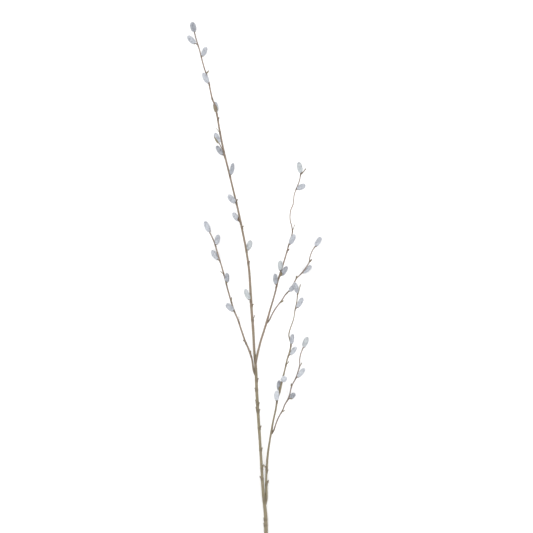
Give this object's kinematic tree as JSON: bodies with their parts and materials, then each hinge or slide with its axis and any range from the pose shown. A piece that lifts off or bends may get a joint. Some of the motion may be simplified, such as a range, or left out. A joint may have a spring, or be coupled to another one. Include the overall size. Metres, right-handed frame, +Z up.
{
  "type": "willow twig",
  "caption": "Cut willow twig in silver catkin, with side shoots and forks, lying on a surface.",
  "frame": {"origin": "middle of the twig's box, on the surface that it lies on", "axes": "+Y along the twig from its cut end to its tips, +Z up from the surface, +X across to the right"},
  "size_m": [0.2688, 1.0526, 0.0488],
  "materials": {
    "bark": "matt olive-brown bark, paler on the thin shoots",
    "fur": "silky blue-grey hairs"
  },
  "bodies": {
    "root": {"main_stem": "bark", "left_shoot": "bark", "right_shoot": "bark", "right_fork": "bark", "lower_shoot": "bark", "lower_fork": "bark"}
  },
  "joints": []
}
